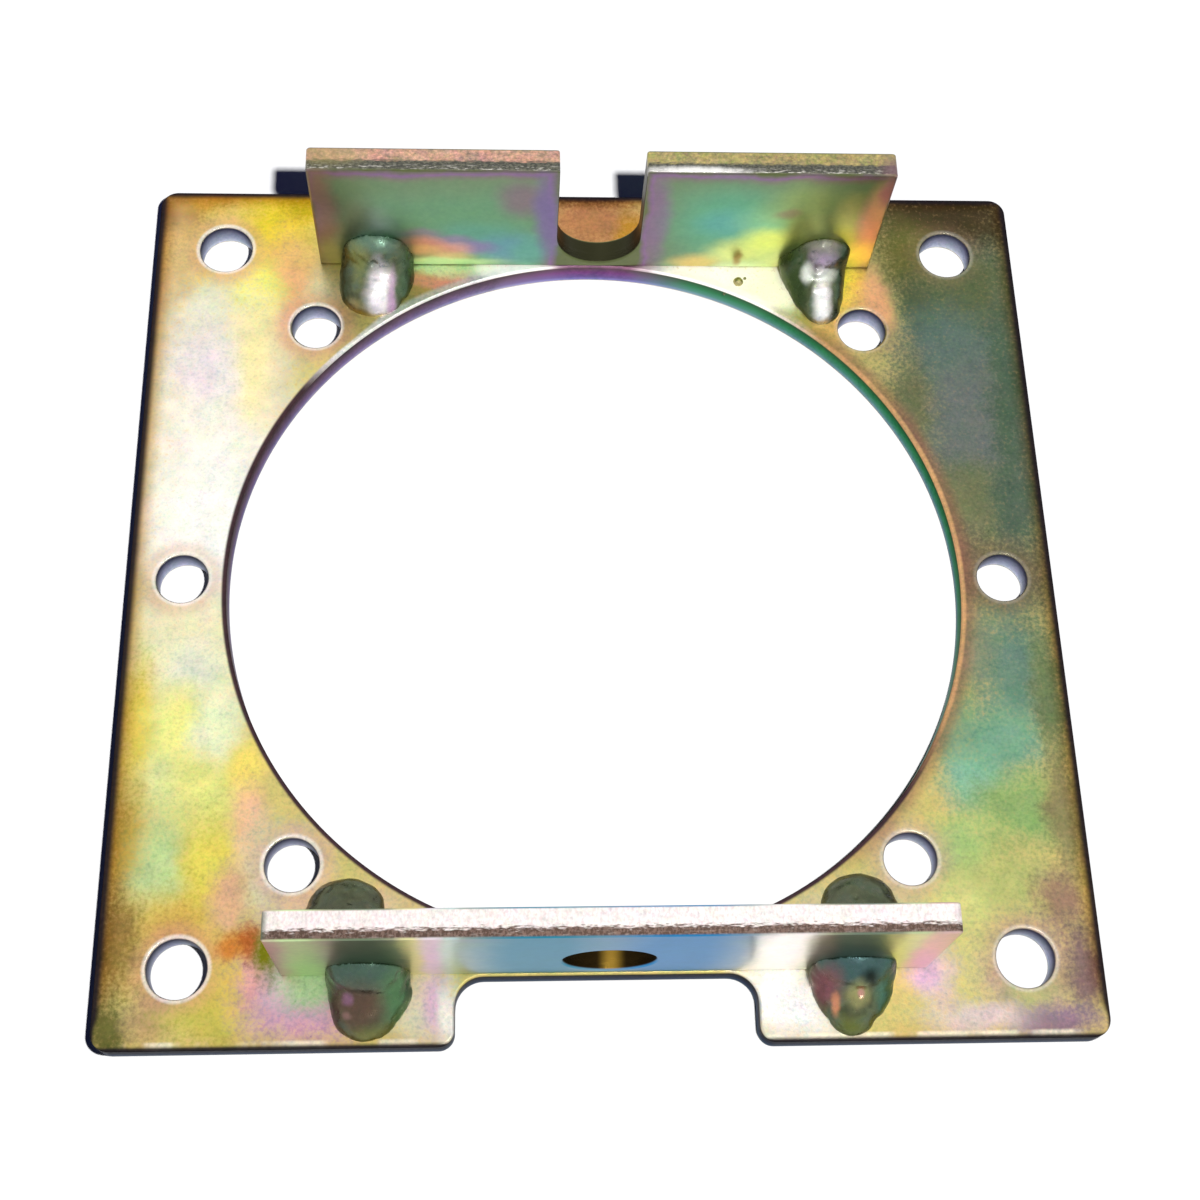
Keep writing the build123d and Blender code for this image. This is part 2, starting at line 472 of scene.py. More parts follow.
# tints are (x, y, half width, half depth, colour, strength if not 1); walls run from the underside up
plateLook = dict(
    ground=(205, 190, 118), wander=6.0, fineness=1.5, depth=0.75, hue=0.26, clouds=0.4,
    speckTint=(150, 122, 84), specks=0.2, roughness=0.34, roughSpread=0.25, relief=0.3, reliefDepth=0.0001,
    # the dark rim colour on this line is painted shade for the rolled edges
    rimShade=(36, 31, 36), bandTint=(196, 156, 98), bandWidth=4.0, bandShare=0.8,
    # spots made matt and less metallic under the painted highlight beside the slot
    mattSpots=[((24, 59), (19, 6)), ((-13, 62.5), (9, 2.2))], mattRoughness=0.5, mattDullness=0.2, edgeOn=0.4,
    # the pale front-edge colour on this line is a painted highlight
    frontHighlight=(240, 232, 210), frontHighlightShare=0.65, dashStretch=(1.0, 0.3, 0.3), dashFineness=0.16,
    underTint=(206, 188, 112), underShare=0.75, haloTint=(196, 150, 122), haloShare=0.35,
    # the lip colour is a painted highlight round the holes
    lipTint=(240, 234, 222), lipShare=0.75,
    # the bore's lip colours are painted highlight and painted shade
    boreLip=dict(middle=(150, 108, 132), rear=(246, 242, 234), front=(70, 52, 56), right=(206, 160, 112)),
    boreHalo=(146, 100, 80), boreHaloShare=0.6,
    # painted light and shade: each wall runs from pale at the underside to dark at the top
    walls=dict(
        boreLeft=[(0.0, (176, 176, 212)), (1.2, (128, 112, 150)), (2.6, (112, 92, 112)), (3.9, (84, 70, 74))],
        boreMiddle=[(0.0, (150, 150, 214)), (1.2, (118, 96, 152)), (2.6, (124, 76, 130)),
            (3.9, (104, 78, 92))],
        boreRight=[(0.0, (142, 160, 190)), (1.3, (84, 140, 124)), (2.6, (56, 126, 84)), (3.9, (52, 92, 62))],
        outer=[(0.0, (96, 124, 150)), (1.2, (50, 70, 100)), (2.4, (34, 42, 66)), (3.9, (30, 28, 36))],
        hole=[(0.0, (214, 220, 236)), (1.2, (164, 170, 192)), (2.6, (124, 128, 148)), (3.9, (66, 66, 84))],
    ),
    tints=[
        # rear left corner, then down the left side
        (-72, 66, 14, 16, (226, 196, 104)),
        (-77, 75, 7, 6, (158, 120, 74)),
        (-66, 77, 12, 3, (200, 156, 62)),
        (-57, 70, 7, 9, (226, 200, 56)),
        (-53, 76, 5, 4, (200, 170, 36)),
        (-55, 58, 5.5, 11, (224, 176, 122)),
        (-61, 57, 5, 7, (228, 224, 104)),
        (-76, 58, 4, 16, (204, 176, 120)),
        (-69, 54, 4, 6, (204, 212, 172)),
        (-66.9, 66.2, 6.6, 6.6, (222, 186, 122), 0.7),
        # painted highlight: near-white glare on the left side
        (-67, 34, 14, 22, (236, 230, 212)),
        (-70, 42, 6, 8, (222, 212, 216), 0.8),
        (-60, 42, 4, 12, (244, 228, 160), 0.8),
        (-49.8, 49.8, 6.2, 6.2, (226, 176, 140), 0.9),
        # painted highlight: more near-white glare on the left side
        (-67, 10, 13, 19, (244, 241, 232)),
        (-74, -5, 3, 4, (220, 196, 166), 0.8),
        (-68, -14, 12, 10, (230, 226, 184)),
        (-67, -16, 4, 6, (208, 214, 200), 0.7),
        (-76, -26, 3, 12, (212, 192, 84)),
        (-69, -27, 6, 7, (232, 232, 140)),
        (-63, -26, 4, 8, (228, 232, 190)),
        (-71, -36, 5, 5, (216, 222, 152)),
        (-64, -38, 6, 6, (222, 222, 132)),
        (-58, -34, 3, 6, (236, 216, 108)),
        (-77, -46, 3.5, 10, (184, 156, 72)),
        (-71, -50, 5, 9, (186, 208, 144)),
        (-63, -50, 5, 9, (218, 206, 92)),
        (-57, -43, 3.2, 7, (228, 184, 146)),
        (-54, -51, 5, 8, (204, 204, 160)),
        (-49.8, -49.8, 6, 6, (214, 190, 190), 0.8),
        (-66, -62, 11, 8, (208, 178, 78)),
        (-59, -55, 3.5, 6, (214, 172, 132)),
        (-66.9, -66.2, 7.4, 7.4, (200, 146, 104), 0.8),
        (-77, -62, 3.5, 9, (150, 122, 64)),
        (-77, -75, 4, 5, (108, 106, 56)),
        (-70, -74, 4, 4, (178, 148, 108)),
        (-60, -74, 9, 4, (196, 184, 88)),
        # front left foot: rosy and green film in arcs round the weld
        (-59, -68, 5, 7, (210, 186, 88)),
        (-46.6, -68, 9.8, 10.4, (206, 140, 196)),
        (-46.5, -67, 6.2, 6.2, (184, 210, 166)),
        (-55.5, -69, 1.6, 3, (222, 160, 160), 0.8),
        # painted shadow of the flange's left end: this orange spot and the red-brown and olive ones after it
        (-58.4, -62.6, 3.2, 3.0, (204, 118, 46), 0.85),
        (-56, -63, 1.6, 3.4, (176, 84, 36), 0.8),
        (-53.2, -64.6, 2.6, 4.2, (124, 124, 26)),
        (-29, -72, 5, 8, (222, 212, 186)),
        (-26.5, -72, 2.6, 5, (222, 186, 208)),
        (-24, -74, 2.0, 6, (240, 234, 224)),
        (-40, -57, 11, 4, (214, 188, 150)),
        # behind the slot, and the strip between the bore and the slotted flange
        (1, 73, 11, 9, (182, 128, 84)),
        (8, 70, 3, 5, (196, 138, 40), 0.8),
        (1, 79.5, 9, 2.5, (108, 74, 46)),
        # painted highlight: near-white glare on the strip left of the slot
        (-12, 61, 16, 4, (248, 242, 232)),
        (-27, 62, 8, 2, (232, 246, 214)),
        (-28, 59, 7, 1.8, (250, 192, 170)),
        (-48, 58, 4, 5, (216, 206, 160)),
        # painted highlight: near-white glare on the strip right of the slot, and the one after it
        (22, 60, 18, 6, (255, 252, 246)),
        (33, 57, 6, 6, (250, 248, 220)),
        (47.5, 58, 4, 6, (240, 226, 110)),
        (44, 50, 4, 4, (232, 196, 120)),
        # rear right corner, then down the right side
        # painted dark reflection: the whole right side is dark olive, and the patches below keep it darker
        # than the left
        (72, 40, 20, 60, (104, 114, 92)),
        (68, 75, 20, 8, (72, 62, 42)),
        (60, 66, 7, 8, (108, 106, 58)),
        (70, 58, 9, 8, (96, 106, 72)),
        (61, 54, 4, 8, (86, 98, 68)),
        (66, 46, 10, 9, (96, 118, 106)),
        (68, 30, 9, 15, (110, 118, 112)),
        (75, 36, 3, 20, (84, 104, 84)),
        (57, 34, 3.5, 10, (112, 116, 84)),
        (56, 24, 3, 7, (140, 120, 96)),
        (52.5, 55, 3, 7, (238, 178, 128)),
        (66, 15, 9, 7, (116, 122, 88)),
        (74, 14, 4, 9, (88, 106, 88)),
        (61, 2, 6, 9, (128, 112, 90)),
        (70, 0, 7.5, 7, (106, 98, 74)),
        (64, -14, 7, 8, (142, 148, 114)),
        (71, -18, 6, 12, (108, 140, 120)),
        (60, -28, 5, 9, (138, 156, 104)),
        (67, -30, 8, 8, (122, 168, 138)),
        (62, -37, 6, 5, (132, 184, 154)),
        (70, -42, 9, 6, (144, 174, 108)),
        (59, -48, 6, 6, (168, 196, 122)),
        (49.8, -49.8, 6.2, 6.2, (196, 176, 164), 0.8),
        (65, -54, 9, 6, (180, 184, 114)),
        (57, -58, 6, 5, (208, 208, 132)),
        (76, -22, 3, 12, (112, 128, 88)),
        (76, -42, 3, 12, (142, 136, 92)),
        (73, -57, 4, 6, (158, 128, 104)),
        (62, -67, 7, 7, (208, 200, 130)),
        (51, -68, 4.5, 5, (222, 196, 190)),
        (50, -69, 2.6, 2.6, (214, 176, 204), 0.8),
        (66.9, -68, 7.6, 7.6, (160, 128, 136), 0.8),
        (67.5, -70, 4.4, 4.0, (176, 184, 118), 0.9),
        (76, -68, 3, 8, (132, 108, 104)),
        (70, -76, 9, 3, (150, 124, 138)),
        (58, -75, 9, 3, (212, 192, 186)),
        # painted highlight: near-white glare at the front beside the notch's right side
        (29, -72, 9, 8, (250, 244, 240)),
        (40, -57, 10, 4, (204, 192, 150)),
    ])


def holeInQuarter(name):
    sizes = mounts[name]["dims"]
    return (sizes["spacing_x_mm"] / 2, sizes.get("spacing_y_mm", 0) / 2), sizes["hole_r_mm"]


plateHoles = [holeInQuarter(name) for name in ("corner_holes", "diagonal_ring_holes", "side_ring_holes")]


def plateFinish(look):
    material, tree, surface = newMetal("chromatedPlate", look["roughness"], look["edgeOn"])
    place, warped, grain = layGround(tree, look)
    mottle = grain["Height"]
    color = layTints(tree, screenColor(*look["ground"]), warped, mottle, [onTop(*t) for t in look["tints"]])
    x, y, z = (axisValue(tree, place, axis) for axis in "XYZ")
    # pale lips round the holes are a painted highlight, with a rosy film zone outside them; the pattern is
    # the same in all four quarters
    quarter = shaderNode(tree, "CombineXYZ", {0: math2(tree, "ABSOLUTE", x), 1: math2(tree, "ABSOLUTE", y)})
    toHole = least(tree, *(minus(tree, vector2(tree, "DISTANCE", quarter, (*spot, 0)), size)
        for spot, size in plateHoles))
    fading = times(tree, smoothRange(tree, minus(tree, x, y), -20.0, 100.0, 1.0, 0.5),
        smoothRange(tree, plus(tree, x, y), 30.0, 80.0, 1.0, 0.25))
    for zone, near, far in (("halo", 1.2, 3.6), ("lip", 0.35, 1.0)):
        zoneShare = times(tree, fade(tree, toHole, near, far, look[zone + "Share"]), fading)
        color = tintOver(tree, zoneShare, color, look[zone + "Tint"])
    # brown film in a band along the outer edges, and a smooth dark line of painted shade where the shear
    # rolled them over
    inward = least(tree, minus(tree, plateHigh.x, distanceFrom(tree, x, 0.0)),
        minus(tree, plateHigh.y, distanceFrom(tree, y, 0.0)))
    waved = timesPlus(tree, minus(tree, mottle, 0.5), 0.8, inward)
    fromFront = minus(tree, y, plateLow.y)
    bandShare = times(tree, smoothRange(tree, fromFront, 4.0, 10.0, 0.25, 1.0),
        fade(tree, waved, 0.6, look["bandWidth"], look["bandShare"]))
    color = tintOver(tree, bandShare, color, look["bandTint"], "MULTIPLY")
    color = tintOver(tree, times(tree, grain["Specks"], look["specks"]), color, look["speckTint"])
    # painted highlight: a pale line of dashes just behind the front edge
    dashes = noise(tree, vector2(tree, "MULTIPLY", place, look["dashStretch"]), look["dashFineness"])
    highlightShare = times(tree, fade(tree, fromFront, 1.0, 1.5, look["frontHighlightShare"]),
        smoothRange(tree, dashes, 0.4, 0.55))
    highlightShare = times(tree, highlightShare, fade(tree, distanceFrom(tree, x, 0.0), 72.0, 76.0))
    color = tintOver(tree, highlightShare, color, look["frontHighlight"])
    # painted shade: the dark line on the rolled edges, narrower towards the front
    rimScale = smoothRange(tree, fromFront, 3.0, 6.0, 0.5, 1.0)
    color = tintOver(tree, fade(tree, over(tree, inward, rimScale), 0.5, 1.8, 0.97), color, look["rimShade"])
    color = tintOver(tree, fade(tree, z, 0.5, 1.5, look["underShare"]), color, look["underTint"])
    # walls: the bore's runs from mauve on the left to green on the right, and every wall is paler towards the
    # underside and darker towards the top, painted light and shade
    radius = vector2(tree, "LENGTH", shaderNode(tree, "CombineXYZ", {0: x, 1: y}))
    inBore = fade(tree, radius, boreRadius + 0.9, boreRadius + 1.2)
    walls = {name: inkRamp(tree, z, sheet, stops) for name, stops in look["walls"].items()}
    outerWall = mixColor(tree, smoothRange(tree, toHole, 0.3, 0.7), walls["hole"], walls["outer"])
    boreX = axisValue(tree, warped, "X")
    boreWall = mixColor(tree, smoothRange(tree, boreX, -18.0, -2.0), walls["boreLeft"], walls["boreMiddle"])
    boreWall = mixColor(tree, smoothRange(tree, boreX, 6.0, 20.0), boreWall, walls["boreRight"])
    wall = mixColor(tree, inBore, outerWall, boreWall)
    color = mixColor(tree, wallMask(tree, z, 0.0, sheet), color, wall)
    # painted light and shade on the bore's lip: pale behind it, orange at the right front and dark round the
    # front half
    lips = look["boreLip"]
    lip = tintOver(tree, smoothRange(tree, distanceFrom(tree, boreX, 2.0), 6.0, 12.0),
        screenColor(*lips["middle"]), lips["rear"])
    lip = tintOver(tree, fade(tree, y, 36.0, 46.0), lip, lips["front"])
    atRightFront = times(tree, smoothRange(tree, x, 30.0, 44.0), smoothRange(tree, y, -40.0, -20.0))
    lip = tintOver(tree, atRightFront, lip, lips["right"])
    fromLip = over(tree, minus(tree, radius, boreRadius), smoothRange(tree, y, 46.0, 54.0, 1.0, 2.0))
    onTopSide = smoothRange(tree, z, sheet - 0.5, sheet - 0.25)
    atRight = times(tree, smoothRange(tree, x, 34.0, 46.0), onTopSide)
    haloShare = fade(tree, radius, boreRadius + 0.8, boreRadius + 3.6, look["boreHaloShare"])
    color = tintOver(tree, times(tree, atRight, haloShare), color, look["boreHalo"])
    color = mixColor(tree, times(tree, onTopSide, fade(tree, fromLip, 0.5, 1.0)), color, lip)
    # the strips beside the slot, under their painted highlight, are made matt and less metallic, with their
    # grain evened out
    matted = 0.0
    for spot, size in look["mattSpots"]:
        fromSpot = vector2(tree, "SUBTRACT", warped, (*spot, 0))
        toSpot = vector2(tree, "LENGTH", vector2(tree, "DIVIDE", fromSpot, (*size, everywhere)))
        matted = math2(tree, "MAXIMUM", matted, fade(tree, toSpot, 0.6, 1.2))
    tone = mixColor(tree, times(tree, matted, 0.7), grain["Tone"], (1, 1, 1, 1))
    feed(tree, mixColor(tree, 1.0, color, tone, "MULTIPLY"), surface["Base Color"])
    feed(tree, timesPlus(tree, matted, -look["mattDullness"], 1.0), surface["Metallic"])
    baseRoughness = timesPlus(tree, matted, look["mattRoughness"] - look["roughness"], look["roughness"])
    feed(tree, timesPlus(tree, minus(tree, mottle, 0.5), look["roughSpread"], baseRoughness),
        surface["Roughness"])
    addBump(tree, surface, mottle, look["relief"], look["reliefDepth"])
    return material


plateMetal = plateFinish(plateLook)

# tints are (x, z, half width, half height, colour, strength if not 1); rings are (distance from the
# outline, colour); topTints are (centre, half sizes, colour, strength)
flangeLooks = {
    "front_flange": dict(
        clean=(250, 242, 238), cleanRight=(250, 242, 238), streak=(214, 186, 188),
        torn=(92, 74, 66), tornPale=(128, 106, 96), tornShare=0.34, raggedness=0.5, dashes=0.15,
        hole=(48, 36, 16), holeGlint=(180, 144, 58), streakStretch=(1.0, 0.6, 1.0),
        streakShare=0.5, speckle=0.5, edgeOn=0.75,
        topTints=[((-51, -65, 30), (0.9, 4, everywhere), (112, 120, 100), 0.9)],
        rings=[(0.0, (196, 190, 150)), (1.5, (212, 196, 176)), (4.0, (214, 214, 168)),
               (9.0, (232, 228, 204))],
        tints=[
            # painted reflections over the film colour: the tall stripes follow what the face mirrors, dark
            # green columns at the beads, white and pale yellow stripes beside the notch's edges and blue over
            # the notch
            (-51, 18, 3.5, 40, (206, 184, 166)),
            (-46, 18, 3.2, 40, (206, 232, 170)),
            (-36.8, 18, 6.4, 40, (120, 138, 110)),
            (-29.5, 18, 1.8, 40, (240, 234, 176)),
            (-26.5, 18, 1.9, 40, (255, 240, 246)),
            (-24, 18, 1.4, 40, (236, 250, 238)),
            (-11, 18, 13, 40, (50, 138, 166)),
            (10, 18, 13, 40, (46, 134, 190)),
            (26, 18, 4.5, 40, (250, 244, 242)),
            (37, 18, 7.0, 40, (116, 134, 116)),
            (44.5, 18, 2.0, 40, (206, 220, 172)),
            (48.5, 18, 2.4, 40, (222, 190, 186)),
        ]),
    "rear_flange": dict(
        clean=(212, 170, 146), cleanRight=(182, 172, 112), streak=(150, 120, 108),
        torn=(84, 84, 78), tornPale=(116, 116, 102), tornShare=0.44, raggedness=0.3, dashes=0.7,
        hole=(54, 54, 36), holeGlint=(56, 56, 38), streakStretch=(0.8, 1.0, 1.0), streakShare=0.5,
        speckle=1.6, edgeOn=1.0,
        topTints=[
            # painted highlight: a white glint along the front of the right tab's top
            ((17, 63.5, 33), (9, 0.9, everywhere), (252, 250, 246), 1.0),
            ((-46, 66.4, 33), (6, 2.5, everywhere), (168, 156, 96), 0.5),
            ((52, 64, 33), (3, 3, everywhere), (140, 108, 116), 0.7),
        ],
        rings=[(0.0, (104, 112, 74)), (0.6, (122, 110, 112)), (1.2, (138, 108, 142)), (2.0, (126, 124, 112)),
               (3.2, (116, 140, 106)), (10.0, (110, 150, 114))],
        tints=[
            # left of the slot
            (-20, 17, 12, 8, (104, 152, 112), 0.7),
            (-20, 14.5, 9, 4, (98, 156, 134), 0.8),
            (-14.5, 10, 6.5, 4.5, (100, 150, 162), 0.85),
            (-11.5, 9, 3, 5, (102, 164, 140), 0.8),
            (-12.5, 25, 4.5, 5, (132, 108, 120), 0.8),
            (-8.2, 20, 2.2, 12, (122, 106, 148), 0.9),
            (-47.2, 20, 2.4, 16, (148, 120, 108), 0.9),
            (-47.2, 8, 2.6, 5, (156, 152, 100), 0.8),
            (-40.5, 15, 4.6, 10, (134, 156, 144), 0.85),
            (-31, 14.4, 4, 1.8, (140, 122, 148), 0.7),
            (-25, 12.4, 4, 1.8, (148, 124, 160), 0.75),
            (-20.5, 10.2, 3.6, 2.0, (142, 118, 166), 0.75),
            # painted reflection over the film colour: the pale bands low on this tab follow the plate
            # mirrored in it
            (-31, 11.8, 4.5, 1.9, (206, 150, 144), 0.8),
            (-25.5, 9.8, 4, 1.9, (214, 156, 146), 0.8),
            (-31, 9.4, 4, 1.7, (222, 200, 150), 0.8),
            (-26, 7.4, 4.5, 1.5, (224, 196, 146), 0.8),
            (-28, 5.6, 10, 1.4, (204, 232, 168), 0.85),
            # right of the slot
            (11.5, 19, 2.0, 14, (136, 110, 136), 0.9),
            (24, 19, 10, 10, (100, 168, 134), 0.9),
            (24, 18, 5.5, 4, (98, 166, 156), 0.8),
            (31, 19, 5, 4.5, (134, 190, 142), 0.8),
            (38, 24, 8, 6, (144, 168, 106), 0.8),
            (45.6, 22, 3, 5, (172, 176, 104), 0.8),
            (34.5, 21.6, 2.4, 1.4, (146, 118, 104), 0.6),
            # painted reflection over the film colour: the pale bands low on this tab follow the plate
            # mirrored in it
            (19.5, 6.4, 5, 2.4, (206, 174, 98), 0.75),
            (27, 9.6, 6, 3.4, (206, 212, 124), 0.75),
            (33, 13.4, 5.5, 3.6, (210, 218, 112), 0.8),
            (36, 5, 5, 6, (214, 218, 140), 0.8),
            (29, 3.4, 6, 3.2, (222, 238, 176), 0.85),
            (39, 16, 4.4, 5, (186, 190, 104), 0.7),
            # painted reflection of the spatter drop on the plate
            (27.3, 7.8, 0.8, 2.4, (150, 118, 60), 0.8),
            (46, 13, 3.2, 11, (190, 194, 118)),
            (50.4, 20, 2.6, 11, (222, 182, 150)),
            (50, 9, 3, 4.5, (246, 234, 140)),
            (51.6, 28, 1.8, 4, (206, 140, 150)),
        ]),
}
sheetFilm = dict(
    wander=3.0, fineness=1.1, depth=0.22, hue=0.1, clouds=0.15, roughness=0.29, ringSpan=12.0,
    edgeFineness=2.2, edgeRelief=0.3, edgeReliefDepth=0.0004, edgeRoughness=0.12, speckFineness=1.3,
    # the dash colour is painted glints on the torn band
    dashGlint=(226, 222, 212), dashStretch=(0.35, 1.3, 1.0),
)
flangeForm = dict(cornerRound=0.8, slotMouth=0.55, edgeRoll=0.45, underRoll=0.2, slotWidth=15.0)


def flangeFinish(node, look, holeX, holeHalf):
    # rings of film colour follow the outline
    material, tree, surface = newMetal("chromated_" + node, sheetFilm["roughness"], look["edgeOn"])
    low, high = boxInMm(node)
    place, warped, grain = layGround(tree, sheetFilm)
    x, y, z = (axisValue(tree, place, axis) for axis in "XYZ")
    bentX, bentZ = axisValue(tree, warped, "X"), axisValue(tree, warped, "Z")
    inward = least(tree, minus(tree, high.z, bentZ),
        minus(tree, (high.x - low.x) / 2, distanceFrom(tree, bentX, (low.x + high.x) / 2)))
    if node == "rear_flange":
        inward = least(tree, inward, minus(tree, distanceFrom(tree, bentX, holeX), holeHalf))
    color = inkRamp(tree, inward, sheetFilm["ringSpan"], look["rings"])
    color = layTints(tree, color, warped, 0.5, [onFace(*t) for t in look["tints"]])
    color = mixColor(tree, 1.0, color, grain["Tone"], "MULTIPLY")
    # sheared edges: torn towards the front and burnished behind that, as the shear left them
    fineness = sheetFilm["edgeFineness"]
    streaks = noise(tree, vector2(tree, "MULTIPLY", place, look["streakStretch"]), fineness, 3.0, 0.6)
    dashes = noise(tree, vector2(tree, "MULTIPLY", place, sheetFilm["dashStretch"]), fineness, 2.0, 0.6)
    across = over(tree, minus(tree, y, low.y), high.y - low.y)
    ragged = timesPlus(tree, minus(tree, dashes, 0.5), look["raggedness"], across)
    torn = fade(tree, ragged, look["tornShare"] - 0.07, look["tornShare"] + 0.07)
    besideHole = smoothRange(tree, bentX, holeX - 6.0, holeX + 6.0)
    clean = tintOver(tree, besideHole, screenColor(*look["clean"]), look["cleanRight"])
    clean = tintOver(tree, smoothRange(tree, streaks, 0.34, 0.72, 0.0, look["streakShare"]), clean,
        look["streak"])
    speckle = useGroup(tree, chromateGrain, Place=place, Fineness=sheetFilm["speckFineness"],
        Depth=look["speckle"], Hue=look["speckle"] * 0.3, Clouds=look["speckle"] * 0.5)
    clean = mixColor(tree, 1.0, clean, speckle.outputs["Tone"], "MULTIPLY")
    atFront = fade(tree, across, 0.1, 0.34)
    # painted glints: pale dashes on the torn band near the front
    dashGlintShare = times(tree, smoothRange(tree, dashes, 0.52, 0.68), times(tree, atFront, look["dashes"]))
    rough = tintOver(tree, smoothRange(tree, streaks, 0.42, 0.62), screenColor(*look["torn"]),
        look["tornPale"])
    rough = tintOver(tree, dashGlintShare, rough, sheetFilm["dashGlint"])
    walls = mixColor(tree, torn, clean, rough)
    walls = layTints(tree, walls, place, grain["Height"], look["topTints"])
    inHole = times(tree, math2(tree, "LESS_THAN", distanceFrom(tree, x, holeX), holeHalf + 0.1),
        math2(tree, "LESS_THAN", z, high.z - 1.5))
    glint = fade(tree, distanceFrom(tree, x, holeX + 0.7), 0.0, 2.4, 0.9)
    hole = tintOver(tree, glint, screenColor(*look["hole"]), look["holeGlint"])
    walls = mixColor(tree, inHole, walls, hole)
    onWall = wallMask(tree, y, low.y, high.y)
    feed(tree, mixColor(tree, onWall, color, walls), surface["Base Color"])
    feed(tree, timesPlus(tree, onWall, sheetFilm["edgeRoughness"], sheetFilm["roughness"]),
        surface["Roughness"])
    relief = times(tree, times(tree, onWall, dashes), timesPlus(tree, torn, 0.8, 0.2))
    addBump(tree, surface, relief, sheetFilm["edgeRelief"], sheetFilm["edgeReliefDepth"])
    return material


slotMiddle = mounts["rod_slot"]["pos_m"][0] / mm
slotHalf = flangeForm["slotWidth"] / 2
frontMetal = flangeFinish("front_flange", flangeLooks["front_flange"], 0.0, rodRadius)
rearMetal = flangeFinish("rear_flange", flangeLooks["rear_flange"], slotMiddle, slotHalf)

# tints are (x, y, z, half sizes in x, y and z, colour, strength if not 1)
weldLook = dict(
    tones=[(0.0, (66, 70, 50)), (0.42, (84, 90, 68)), (0.52, (104, 112, 84)), (0.62, (92, 108, 90)),
           (0.75, (132, 128, 108))],
    wander=2.0, fineness=1.6, depth=0.3, hue=0.2, clouds=0.3,
    roughness=0.32, patchiness=0.28, scratches=1.3, relief=0.1, reliefDepth=0.0003,
    tints=[
        # the slotted flange's left bead
        (-39.2, 61.5, 13.6, 7, 4, 1.5, (104, 134, 116), 0.8),
        (-42.4, 58, 10.8, 2.2, 6, 2.6, (138, 142, 86), 0.8),
        # painted shade: darker down both sides of the bead
        (-45.2, 56, 7, 2.0, 9, 6, (66, 74, 54)),
        (-33.4, 56, 8, 1.8, 9, 6, (86, 108, 82)),
        # painted highlight: the white streak down the middle, with a pink one beside it
        (-38.3, 54, 7.5, 2.4, 7, 4.5, (250, 244, 246)),
        (-36.2, 53, 6.5, 0.8, 6, 4, (206, 160, 206), 0.7),
        (-43, 51, 5.5, 3, 3, 2, (176, 156, 96)),
        # its right bead
        (41.8, 61.5, 13.8, 6, 4, 1.5, (128, 128, 116)),
        # painted shade: darker down both sides of the bead
        (37.6, 57, 8, 2.6, 9, 6, (60, 76, 44)),
        (46.6, 57, 9, 1.8, 9, 7, (70, 90, 70)),
        (42.3, 59, 11.5, 2.4, 4, 1.8, (168, 150, 172)),
        # painted highlight: the white streak down the middle and the T-shaped glint above it
        (42.5, 53.5, 7.5, 1.6, 7, 4.5, (255, 253, 250)),
        (39.4, 58.5, 9.5, 1.2, 2, 1.6, (232, 236, 226), 0.9),
        (43.5, 58.5, 9.5, 2.4, 1.6, 1.2, (210, 216, 204), 0.7),
        # outer beads of the flange with the round hole, left and right
        (-37, -68.5, 13, 9, 4, 4, (78, 100, 88)),
        (-32.5, -72, 8, 3.4, 7, 6, (86, 122, 84)),
        (-38.5, -73, 8, 4.2, 4.5, 5, (96, 78, 66)),
        (-40.2, -72, 9, 0.9, 0.8, 3, (150, 108, 138), 0.6),
        (-40.4, -74.2, 7.5, 0.7, 0.6, 3, (160, 124, 118), 0.5),
        (-36, -77, 5.5, 4, 2, 2, (110, 112, 66)),
        (38.5, -68.5, 13, 9, 4, 4, (72, 98, 96)),
        (33.6, -71, 9, 2.6, 3, 5, (126, 84, 88)),
        (35.2, -73.5, 8, 0.6, 1.8, 4, (226, 150, 110), 0.7),
        (38.8, -72.4, 9, 1.8, 1.8, 4, (158, 156, 104), 0.8),
        (39.2, -72.4, 9, 0.6, 0.6, 4, (200, 140, 136), 0.7),
        (40.4, -70.4, 10, 1.6, 1.2, 4, (26, 34, 28), 0.95),
        (43.6, -71.5, 8, 2, 5, 5, (76, 116, 96)),
        (38, -76.5, 6, 3, 2, 2, (104, 112, 58)),
        (27.5, 59.8, 5.4, 1.6, 1.6, 1.6, (184, 174, 122)),  # spatter
        # the inner beads of that flange
        (-40.5, -58, 8, 9, 5, 8, (82, 84, 68), 0.7),
        (40.5, -58, 8, 9, 5, 8, (88, 92, 74), 0.7),
    ])


def weldFinish(look):
    material, tree, surface = newMetal("chromatedWeld", look["roughness"])
    place, warped, grain = layGround(tree, look)
    tone = noise(tree, warped, look["patchiness"])
    color = inkRamp(tree, tone, 1.0, look["tones"])
    color = layTints(tree, color, warped, tone, [onBead(*t) for t in look["tints"]])
    feed(tree, mixColor(tree, 1.0, color, grain["Tone"], "MULTIPLY"), surface["Base Color"])
    scratch = noise(tree, place, look["scratches"])
    feed(tree, smoothRange(tree, scratch, 0.35, 0.7, look["roughness"] - 0.06, look["roughness"] + 0.12),
        surface["Roughness"])
    addBump(tree, surface, scratch, look["relief"], look["reliefDepth"])
    return material


weldMetal = weldFinish(weldLook)
print("finishes:", len(bpy.data.materials), "materials")

# base plate

